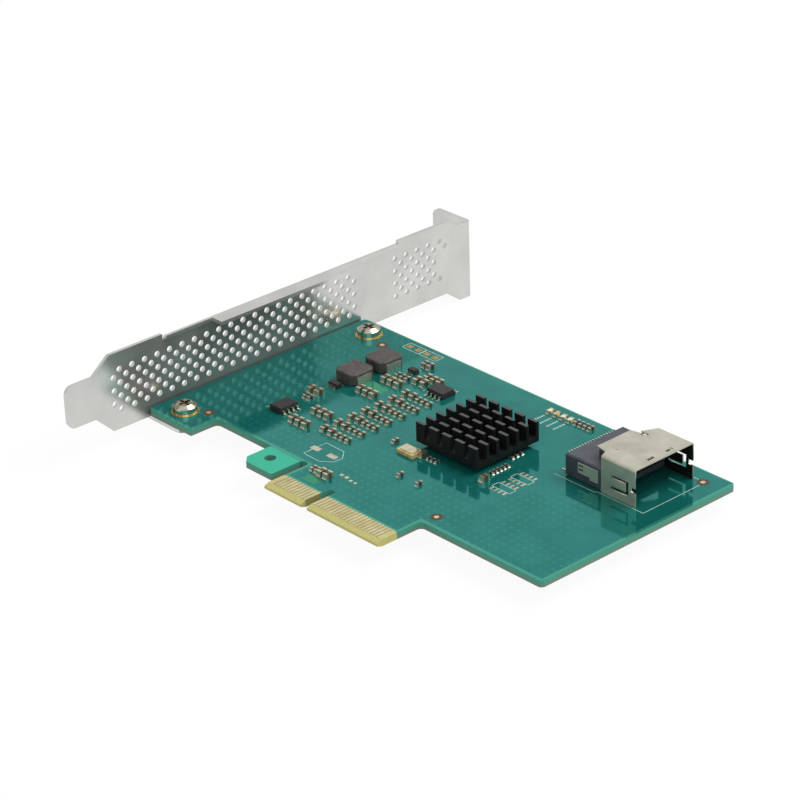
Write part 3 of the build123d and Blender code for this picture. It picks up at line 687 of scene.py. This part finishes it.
@dataclass(frozen=True)
class SolderMask:
    """Glossy teal mask over etched copper, with bare laminate at the card edge.

    Copper under the mask shows as a darker tone with a grid of dots, the masked laminate at the
    rim is mint, the bare laminate at the card edge is khaki, and the sawn edge greys downwards.
    """

    # Copper under the mask, and the grid of dots in it
    copper: tuple[str, str] = ("#15746c", "#1e7d75")
    copper_spread: Span = (0.35, 0.7)
    copper_patch_mm: float = 7.0
    copper_mirror: float = 0.58
    dot: str = "#2c857b"
    dot_pitch_mm: float = 2.03
    dot_radius_mm: float = 0.42
    dot_rim: Span = (0.35, 1.3)
    dot_strength: Span = (0.3, 0.95)
    dot_spread: Span = (0.3, 0.62)
    dot_patch_mm: float = 11.0
    dot_fade_mm: float = 1.5
    # Mask over laminate, and laminate without mask
    masked: str = "#409885"
    opening: str = "#2f8c69"
    tab: str = "#35b593"
    tab_fade_mm: float = 0.5
    bare: tuple[str, str] = ("#aaa468", "#b7b273")
    bare_spread: Span = (0.3, 0.7)
    bare_gap: str = "#85804f"
    # Sawn edge, from the solder side up
    edge: tuple[str, str, str] = ("#6d7569", "#4b8672", "#3e8b79")
    edge_levels: Point = (0.08, 0.45, 0.95)
    fibre_mm: float = 0.5
    fibre_stir: float = 0.3
    flat_facing: float = 0.9
    # Gloss and relief
    rough_edge: float = 0.5
    glossy_face: float = 0.07
    specular: float = 0.13
    weave_mm: float = 0.9
    weave_share: float = 0.6
    dot_share: float = 0.5
    relief_mm: float = 0.02
    rim_mm: float = 0.75

    def dots(self, shader: Shader, x: Source, y: Source) -> bpy.types.Node:
        """One inside the dots of a square grid and zero between them.

        Args:
            shader: the material under construction.
            x: the first coordinate.
            y: the second coordinate.

        Returns:
            The node that gives the share.
        """
        offsets = []
        for axis in (x, y):
            cell = shader.math("FRACT", shader.math("DIVIDE", axis, self.dot_pitch_mm * MM))
            offset = shader.math("SUBTRACT", cell, 0.5)
            offsets.append(shader.math("MULTIPLY", offset, offset))
        square = shader.math("ADD", *offsets)
        radius = self.dot_radius_mm / self.dot_pitch_mm
        core, rim = ((radius * share) ** 2 for share in self.dot_rim)
        return shader.add("MapRange", {"interpolation_type": "SMOOTHSTEP"},
                          {"From Min": core, "From Max": rim, "To Min": 1.0, "To Max": 0.0},
                          {"Value": square})

    def material(self, copper: Sequence[Area], openings: Sequence[Area], bare: Sequence[Area],
                 gaps: Sequence[Area], dotted: Sequence[Area], tab: Area,
                 half_thickness_mm: float) -> bpy.types.Material:
        """Build the mask.

        Args:
            copper: rectangles of copper, as low x, high x, low y and high y in millimetres.
            openings: lighter patches in the copper.
            bare: rectangles without mask.
            gaps: darker stretches of the bare laminate, between the contacts.
            dotted: rectangles in which the grid of dots shows.
            tab: rectangle of the alignment tab, which has no copper in it.
            half_thickness_mm: half the board's thickness.

        Returns:
            The material.
        """
        shader = Shader("teal_solder_mask")
        place = shader.add("TexCoord").outputs["Object"]
        x, y, z = shader.add("SeparateXYZ", links={0: place}).outputs
        cloud = shader.add("TexNoise", values={"Scale": 1 / (self.copper_patch_mm * MM), "Detail": 4.0},
                           links={"Vector": place})
        tone = shader.ramp(cloud, self.copper_spread, self.copper)
        patch = shader.add("TexNoise", values={"Scale": 1 / (self.dot_patch_mm * MM), "Detail": 1.0},
                           links={"Vector": place})
        strength = shader.add("MapRange", values={
            "From Min": self.dot_spread[0], "From Max": self.dot_spread[1],
            "To Min": self.dot_strength[0], "To Max": self.dot_strength[1]}, links={"Value": patch})
        inside = shader.math("MULTIPLY", self.dots(shader, x, y),
                             shader.region(x, y, dotted, self.dot_fade_mm))
        plated = shader.mix(shader.math("MULTIPLY", inside, strength), tone, self.dot)
        face = shader.mix(shader.region(x, y, copper), self.masked, plated)
        face = shader.mix(shader.region(x, y, openings), face, self.opening)
        face = shader.mix(shader.region(x, y, (tab,), self.tab_fade_mm), face, self.tab)
        # The sawn edge is told from the faces by which way it looks
        normal = shader.add("SeparateXYZ", links={0: shader.add("NewGeometry").outputs["Normal"]})
        upright = shader.math("ABSOLUTE", normal.outputs[2])
        flat = shader.math("GREATER_THAN", upright, self.flat_facing)
        half = half_thickness_mm * MM
        level = shader.add("MapRange", values={"From Min": -half, "From Max": half}, links={"Value": z})
        fibre = shader.add("TexNoise", values={"Scale": 1 / (self.fibre_mm * MM), "Detail": 3.0},
                           links={"Vector": place})
        stir = shader.math("MULTIPLY", shader.math("SUBTRACT", fibre, 0.5), self.fibre_stir)
        edge = shader.ramp(shader.math("ADD", level, stir), self.edge_levels, self.edge)
        colour = shader.mix(flat, edge, face)
        khaki = shader.ramp(fibre, self.bare_spread, self.bare)
        khaki = shader.mix(shader.region(x, y, gaps), khaki, self.bare_gap)
        unmasked = shader.region(x, y, bare)
        colour = shader.mix(unmasked, colour, khaki)
        smooth = shader.math("MULTIPLY", flat, shader.math("SUBTRACT", 1.0, unmasked))
        gloss = shader.add("MapRange", values={"To Min": self.rough_edge, "To Max": self.glossy_face},
                           links={"Value": smooth})
        weave = shader.add("TexNoise", values={"Scale": 1 / (self.weave_mm * MM), "Detail": 2.0},
                           links={"Vector": place})
        height = shader.math("ADD", shader.math("MULTIPLY", inside, self.dot_share),
                             shader.math("MULTIPLY", weave, self.weave_share))
        bump = shader.add("Bump", values={"Strength": 0.1, "Distance": self.relief_mm * MM},
                          links={"Height": height})
        # Copper under the tinted resin mirrors its surroundings in teal
        mirror = shader.math("MULTIPLY", smooth, self.copper_mirror)
        surface = shader.add("BsdfPrincipled", values={"Specular IOR Level": self.specular},
                             links={"Base Color": colour, "Roughness": gloss, "Normal": bump,
                                    "Metallic": mirror})
        return shader.finish(surface)


def dress(node: str, material: bpy.types.Material) -> None:
    """Give a CAD node its finish.

    Args:
        node: the node's name.
        material: its finish.
    """
    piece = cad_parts[node]
    piece.data.materials.clear()
    piece.data.materials.append(material)
    LOG.info("dressed %s in %s", node, material.name)


def own(piece: bpy.types.Object, material: bpy.types.Material,
        smooth: float = 0.0) -> bpy.types.Object:
    """Finish a new piece: material, slot, shading and the body it rides on.

    Args:
        piece: the finished piece.
        material: its finish.
        smooth: angle in degrees below which edges shade smooth, or 0 for flat shading.

    Returns:
        The same piece.
    """
    piece.data.materials.clear()
    piece.data.materials.append(material)
    if smooth:
        activate(piece)
        bpy.ops.object.shade_smooth_by_angle(angle=math.radians(smooth))
    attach(piece, "root")
    LOG.info("built %s with %d faces", piece.name, len(piece.data.polygons))
    return piece


@dataclass
class Board:
    """The bare board with its legend, lands and contacts, in millimetres."""

    # Print: its lines, the dashes by the diodes, the frames of the headers, the frames of parts
    # that aren't fitted, and the marks by the chips
    ink_line: float = 0.13
    ink_height: float = 0.012
    dash: float = 0.16
    dash_width: float = 0.55
    dash_gaps: tuple[float, ...] = (1.7, 2.3, 2.9, 3.5, 4.1, 4.7)
    header_margin: Spot = (0.45, 0.6)
    unfitted_x: Span = (21.9, 27.1)
    unfitted_rows: Span = (39.3, 33.9)
    unfitted_half: float = 1.0
    mark_gap: float = 1.6
    mark_y: Span = (0.2, 0.9)
    # Outline of the board, which the copper follows at a distance
    shoulder: float = 12.2
    foot_right: float = -42.95
    foot_height: float = 4.7
    edge_left: float = -12.6
    edge_right: float = 22.6
    bare_height: float = 5.5
    # Copper: its openings, the areas with dots, and the tab that has none
    openings: tuple[Area, ...] = ((-32.4, -26.4, 45.2, 48.4), (-9.0, -5.2, 7.2, 9.6))
    dotted: tuple[Area, ...] = ((-60.0, -33.0, 4.0, 70.0), (-33.0, 60.0, 4.0, 25.0),
                                (17.0, 48.0, 25.0, 43.0), (-8.0, 2.0, 25.0, 38.0))
    tab: Area = (-25.5, -14.7, 3.0, 11.8)
    # Printed outlines of the power diode's place and of the cable socket
    diode: tuple[Spot, ...] = ((-17.2, 14.8), (-12.0, 14.7), (-9.6, 16.6), (-9.3, 18.9), (-11.5, 21.3),
                               (-17.2, 21.4), (-17.2, 14.8))
    socket: tuple[Spot, ...] = ((27.4, 45.8), (39.3, 45.8), (39.3, 46.3), (52.5, 46.3), (52.5, 65.0),
                                (39.3, 65.0), (39.3, 65.6), (27.4, 65.6))
    clearing: float = 2.9
    low: Vector = field(default_factory=lambda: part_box("circuit_board")[0] / MM)
    high: Vector = field(default_factory=lambda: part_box("circuit_board")[1] / MM)

    def copper(self) -> list[Area]:
        """Rectangles of copper under the mask, which reach past the end beside the bracket.

        Returns:
            Low x, high x, low y and high y of each, in millimetres.
        """
        rim = SolderMask.rim_mm
        left, right, top = self.low.x - rim, self.high.x - rim, self.high.y - rim / 2
        return [(left, right, self.shoulder + rim, top),
                (left, self.foot_right - rim, self.foot_height + rim, self.shoulder + 4 * rim),
                (self.edge_left + rim, self.edge_right - rim, self.bare_height + rim,
                 self.shoulder + 4 * rim)]

    def stroke(self, start: Spot, end: Spot, width: float = ink_line) -> bpy.types.Object:
        """Print a straight stroke between two spots.

        Args:
            start: where the stroke starts.
            end: where it ends.
            width: its width.

        Returns:
            The stroke, half a line longer than its run at each end.
        """
        run = Vector(end) - Vector(start)
        side, past = width / 2, self.ink_line / 2
        bar = add_block((-past, -side, 0), (run.length + past, side, self.ink_height))
        bar.matrix_world = at(*start, self.high.z, math.degrees(math.atan2(run.y, run.x)))
        settle(bar)
        return bar

    def outline(self, spots: Sequence[Spot]) -> list[bpy.types.Object]:
        """Print the strokes between neighbouring spots."""
        return [self.stroke(start, end) for start, end in zip(spots, spots[1:])]

    def ring(self, x0: float, x1: float, y0: float, y1: float) -> list[bpy.types.Object]:
        """Print a rectangle."""
        return self.outline(((x0, y0), (x1, y0), (x1, y1), (x0, y1), (x0, y0)))

    def legend(self) -> None:
        """Print the outlines of the parts, and rows of plain dashes by the diodes."""
        marks = self.outline(self.diode) + self.outline(self.socket)
        lands = sorted(solids("header_lands"), key=lambda box: box[0].x)
        margin_x, margin_y = self.header_margin
        for first, last in (lands[:2], lands[2:]):
            marks += self.ring(first[0].x - margin_x, last[1].x + margin_x,
                               first[0].y - margin_y, first[1].y + margin_y)
        for middle in self.unfitted_rows:
            marks += self.ring(*self.unfitted_x, middle - self.unfitted_half, middle + self.unfitted_half)
        for low, high in solids("status_leds"):
            x = (low.x + high.x) / 2
            marks += [self.stroke((x, low.y - gap), (x, low.y - gap + self.dash), self.dash_width)
                      for gap in self.dash_gaps]
        for low, _ in solids("eight_lead_chips"):
            marks.append(self.stroke(*((low.x - self.mark_gap, low.y + y) for y in self.mark_y)))
        own(join(marks, "legend_outlines"), PRINT_INK.material())

    def clearings(self) -> None:
        """Dark round windows in the mask round the fiducial marks."""
        clear_selection()
        bpy.ops.mesh.primitive_cylinder_add(vertices=32, radius=self.clearing / 2 * MM,
                                            depth=self.ink_height * MM)
        disc = bpy.context.object
        settle(disc)
        middles = [(low + high) / 2 for low, high in solids("fiducials")]
        level = self.high.z + self.ink_height / 2
        windows = copies(disc, [at(m.x, m.y, level) for m in middles], "fiducial_windows")
        own(windows, BARE_FIBRE.material())

    def build(self) -> None:
        """Dress the board and add its print."""
        bare = [(self.edge_left - 1, self.edge_right + 1, self.low.y - 1, self.bare_height)]
        contacts_low, contacts_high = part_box("contacts_component_side")
        gaps = [(contacts_low.x / MM, contacts_high.x / MM, contacts_low.y / MM, contacts_high.y / MM)]
        dress("circuit_board", SolderMask().material(self.copper(), self.openings, bare, gaps,
                                                     self.dotted, self.tab, self.high.z))
        gold = EDGE_GOLD.material()
        for node in ("contacts_component_side", "contacts_solder_side"):
            dress(node, gold)
        dress("screw_lands", LAND_GOLD.material())
        dress("fiducials", FIDUCIAL_GOLD.material())
        dress("header_lands", HEADER_GOLD.material())
        dress("tinned_lands", TINNED.material())
        self.legend()
        self.clearings()


@dataclass
class BracketSet:
    """The folded bracket and its two screws, with the ends of the painted reflection of the board in
    millimetres.
    """

    reflection_low: float = 3.0
    reflection_high: float = 54.0

    def build(self) -> None:
        """Dress the bracket and screws."""
        dress("bracket", ZincSheet().material(self.reflection_low, self.reflection_high))
        dress("bracket_screws", SCREW_NICKEL.material())


@dataclass
class ControllerStack:
    """Controller chip, gap pad and heat sink."""

    sawn_depth: float = 0.05

    def build(self) -> None:
        """Dress the stack."""
        dress("controller_chip", MOULDING.material())
        dress("thermal_pad", GAP_PAD.material())
        dress("heat_sink", Anodised().material(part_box("heat_sink")[1].z / MM - self.sawn_depth))


@dataclass
class SmallParts:
    """Everything else that is soldered to the board."""

    fillet_reach: float = 0.32
    fillet_climb: float = 0.6
    wedge_edge: float = 0.99
    wedge_hollow: float = 0.9
    wedge_steps: int = 4
    wedge_profile: float = 0.1
    chip_nodes: tuple[tuple[str, str], ...] = (("capacitor_ends", "capacitor_bodies"),
                                               ("resistor_ends", "resistor_bodies"),
                                               ("status_led_ends", "status_leds"))

    def wedge(self) -> bpy.types.Object:
        """Model a hollow wedge of solder, one millimetre wide, long and high.

        Returns:
            The wedge, with its back on the chip's side.
        """
        wedge = add_block((-0.5, 0, 0), (0.5, 1, 1))
        select_edges(wedge, lambda a, b: min(a.y, b.y, a.z, b.z) > self.wedge_edge)
        bpy.ops.mesh.bevel(offset=self.wedge_hollow * MM, segments=self.wedge_steps,
                           profile=self.wedge_profile)
        bpy.ops.object.mode_set(mode="OBJECT")
        return wedge

    def fillets(self, solder: bpy.types.Material) -> None:
        """Lay solder up the outer face of every chip end.

        Args:
            solder: the finish of the solder.
        """
        places = []
        for ends, bodies in self.chip_nodes:
            middles = [(low + high) / 2 for low, high in solids(bodies)]
            for low, high in solids(ends):
                middle = (low + high) / 2
                away = middle - min(middles, key=lambda m: (m - middle).length)
                size = high - low
                if abs(away.y) > abs(away.x):
                    turn, width = (0 if away.y > 0 else 180), size.x
                    middle.y += math.copysign(size.y / 2, away.y)
                else:
                    turn, width = (-90 if away.x > 0 else 90), size.y
                    middle.x += math.copysign(size.x / 2, away.x)
                grown = Matrix.Diagonal((width, self.fillet_reach, size.z * self.fillet_climb, 1))
                places.append(at(middle.x, middle.y, low.z, turn) @ grown)
        own(copies(self.wedge(), places, "solder_fillets"), solder, SHARP_DEGREES)

    def build(self) -> None:
        """Dress the small parts."""
        moulding, tin = MOULDING.material(), TINNED.material()
        for node in ("eight_lead_chips", "small_leaded_chips"):
            dress(node, moulding)
        for node in ("eight_lead_chip_leads", "small_chip_leads", "capacitor_ends",
                     "status_led_ends"):
            dress(node, tin)
        # Resistor ends, inductor terminals and fillets take the tin darkened with painted shade
        shaded_tin = SHADED_MATT_TIN.material()
        for node in ("resistor_ends", "inductor_terminals"):
            dress(node, shaded_tin)
        dress("power_inductors", IRON_POWDER.material())
        dress("capacitor_bodies", CAPACITOR_CERAMIC.material())
        dress("resistor_bodies", RESISTOR_GLAZE.material())
        diodes = sorted(solids("status_leds"), key=lambda box: box[0].x)
        amber_low, amber_high = diodes[1]
        dress("status_leds", DiodeResin().material(amber_low.x, amber_high.x))
        dress("crystal_base", CRYSTAL_CERAMIC.material())
        dress("crystal_lid", CRYSTAL_LID.material())
        self.fillets(shaded_tin)


@dataclass
class CableSocket:
    """Metal cage, housing and tails of the cable socket, in millimetres."""

    # Cage: its sheet, how far a cutter reaches past it, the solid's bump and latch, the gap at the
    # latch's end, the notch in the mouth, and the foot behind
    sheet: float = 0.3
    over: float = 1.0
    bump: float = 0.35
    bump_x: Span = (45.7, 47.2)
    latch_z: Span = (2.785, 5.885)
    gap_x: Span = (46.85, 47.75)
    notch_x: float = 48.45
    notch_z: Span = (4.0, 5.1)
    notch_patch: float = 3.0
    foot_x: Span = (40.0, 43.0)
    foot_top: float = 1.8
    fold_degrees: float = 35.0
    # Side plates: how far they stand out, their outline, their two slots and their broken edges
    plate_proud: float = 0.08
    plate_top: float = 5.2
    plate_foot: float = 2.7
    plate_step_x: float = 36.5
    slot_x: Span = (33.4, 34.7)
    slot_levels: Span = (3.6, 4.5)
    slot_height: float = 0.38
    edge_break: float = 0.05

    def cage(self, finish: bpy.types.Material) -> None:
        """Model the cage from its CAD solid, with the latch ends and mouth notches opened out.

        Args:
            finish: the finish of the sheet.
        """
        low, high = (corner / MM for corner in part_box("socket_shell"))
        cage = twin_of("socket_shell", "cable_cage")
        for outer, inward in ((low.y + self.bump, 1), (high.y - self.bump, -1)):
            outside, wall, through = (
                sorted((outer + inward * start, outer + inward * end))
                for start, end in ((-self.over, 0), (0, self.sheet), (-self.over, self.sheet + self.over)))
            for use, x, y, z in (
                    (BlockUse.CUT, self.bump_x, outside, (low.z + self.over, self.latch_z[1])),
                    (BlockUse.WELD, (high.x - self.notch_patch, self.notch_x), wall, self.notch_z),
                    (BlockUse.CUT, self.gap_x, through, self.latch_z),
                    (BlockUse.CUT, (self.notch_x, high.x + self.over), through, self.notch_z),
                    (BlockUse.WELD, self.foot_x, wall, (low.z, self.foot_top))):
                carve(cage, *zip(x, y, z), use)
        own(cage, finish, self.fold_degrees)
        use_modifier(cage, "WEIGHTED_NORMAL", {"weight": 100, "keep_sharp": True})
        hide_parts("socket_shell")

    def side_plates(self, finish: bpy.types.Material) -> None:
        """Model the sprung plate on each side of the housing, slotted near its back end.

        Args:
            finish: the finish of the sheet.
        """
        plates = []
        for low, high in solids("socket_side_plates"):
            near, far = low.y - self.plate_proud, high.y + self.plate_proud
            plate = add_block((low.x, near, low.z), (high.x, far, self.plate_top))
            carve(plate, (low.x - self.over, near - self.over, low.z - self.over),
                  (self.plate_step_x, far + self.over, self.plate_foot))
            for z in self.slot_levels:
                carve(plate, (self.slot_x[0], near - self.over, z - self.slot_height / 2),
                      (self.slot_x[1], far + self.over, z + self.slot_height / 2))
            plates.append(plate)
        piece = join(plates, "side_latch_plates")
        soften(piece, self.edge_break)
        own(piece, finish)
        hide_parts("socket_side_plates")

    def build(self) -> None:
        """Dress the socket."""
        low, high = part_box("socket_shell")
        silver = CageSheet().material((low + high) / 2)
        self.cage(silver)
        dress("socket_housing", SOCKET_PLASTIC.material())
        dress("socket_tails", TINNED.material())
        dress("socket_contacts", LAND_GOLD.material())
        self.side_plates(silver)


@dataclass
class Studio:
    """Pale floor, soft lamps and the camera."""

    azimuth: float = 48.40
    elevation: float = 26.75
    roll: float = -1.82
    distance_mm: float = 672.4
    target_mm: Point = (-21.0, 46.2, 0.785)
    focal_px: float = 3053.0
    frame_px: float = 800.0
    sensor_mm: float = 36.0
    clip_m: Span = (0.01, 10.0)
    lamp_size_m: float = 0.8
    lamp_aim_m: Point = (0.0, 0.04, 0.0)
    key_place_m: Point = (0.3, 0.65, 1.05)
    key_watts: float = 15.5
    fill_place_m: Point = (0.7, -0.6, 0.5)
    fill_watts: float = 2.5
    floor_size_m: float = 6.0
    floor_gap_m: float = 0.0002
    floor_white: float = 0.94
    world_light: float = 0.55

    def camera(self) -> None:
        """Place the camera as the photo was taken."""
        data = bpy.data.cameras.new("studio_camera")
        data.sensor_width = self.sensor_mm
        data.lens = self.focal_px * self.sensor_mm / self.frame_px
        data.clip_start, data.clip_end = self.clip_m
        camera = bpy.data.objects.new("studio_camera", data)
        bpy.context.scene.collection.objects.link(camera)
        a, e = math.radians(self.azimuth), math.radians(self.elevation)
        back = Vector((math.sin(a) * math.cos(e), -math.cos(a) * math.cos(e), math.sin(e)))
        right = Vector((0, 0, 1)).cross(back).normalized()
        up = back.cross(right)
        r = math.radians(self.roll)
        right, up = (right * math.cos(r) + up * math.sin(r), up * math.cos(r) - right * math.sin(r))
        turn = Matrix((right, up, back)).transposed().to_4x4()
        place = (Vector(self.target_mm) + back * self.distance_mm) * MM
        camera.matrix_world = Matrix.Translation(place) @ turn
        bpy.context.scene.camera = camera

    def lamp(self, name: str, place: Point, watts: float) -> None:
        """Add a soft square lamp that looks at the card.

        Args:
            name: the lamp's name.
            place: where it hangs, in metres.
            watts: its power.
        """
        data = bpy.data.lights.new(name, "AREA")
        data.energy, data.size = watts, self.lamp_size_m
        lamp = bpy.data.objects.new(name, data)
        bpy.context.scene.collection.objects.link(lamp)
        lamp.location = place
        away = Vector(self.lamp_aim_m) - Vector(place)
        lamp.rotation_euler = away.to_track_quat("-Z", "Y").to_euler()

    def shown(self, shader: Shader) -> bpy.types.Node:
        """One where the camera or a mirroring or clear surface looks at the surroundings.

        Args:
            shader: the material or world under construction.

        Returns:
            The node that gives the share.
        """
        path = shader.add("LightPath").outputs
        sharp = shader.math("MAXIMUM", path["Is Glossy Ray"], path["Is Transmission Ray"])
        return shader.math("MAXIMUM", path["Is Camera Ray"], sharp)

    def floor(self) -> None:
        """Add the pale floor, which shows white to the camera and keeps the shadow."""
        level = CAD_BOX[0][2] - self.floor_gap_m
        clear_selection()
        bpy.ops.mesh.primitive_plane_add(size=self.floor_size_m, location=(0, 0, level))
        floor = bpy.context.object
        floor.name = "studio_floor"
        shader = Shader("white_paper")
        paper = shader.add("BsdfDiffuse", values={"Color": linear("#e6e6e4")})
        glow = shader.add("Emission", values={"Color": linear("#ffffff"), "Strength": 1.0})
        share = shader.math("MULTIPLY", self.shown(shader), self.floor_white)
        mix = shader.add("MixShader", links={0: share, 1: paper, 2: glow})
        floor.data.materials.append(shader.finish(mix))

    def world(self) -> None:
        """Even pale surroundings, brighter to the camera and to reflections."""
        shader = Shader("studio_world", world=True)
        light = shader.add("Background", values={"Color": linear("#ffffff"), "Strength": self.world_light})
        # The second background keeps the node's own pale grey
        pale = shader.add("Background", values={"Strength": 1.0})
        mix = shader.add("MixShader", links={0: self.shown(shader), 1: light, 2: pale})
        bpy.context.scene.world = shader.finish(mix)

    def build(self) -> None:
        """Set up the studio."""
        self.floor()
        self.world()
        self.lamp("key_lamp", self.key_place_m, self.key_watts)
        self.lamp("fill_lamp", self.fill_place_m, self.fill_watts)
        self.camera()
        bpy.context.scene.view_settings.view_transform = "Standard"


def main() -> None:
    """Build every sub-assembly in order, then the studio."""
    logging.basicConfig(level=logging.INFO, format="%(name)s: %(message)s")
    for assembly in (Board(), BracketSet(), ControllerStack(), SmallParts(), CableSocket(), Studio()):
        assembly.build()
        LOG.info("finished %s", type(assembly).__name__)


if __name__ == "__main__":
    main()
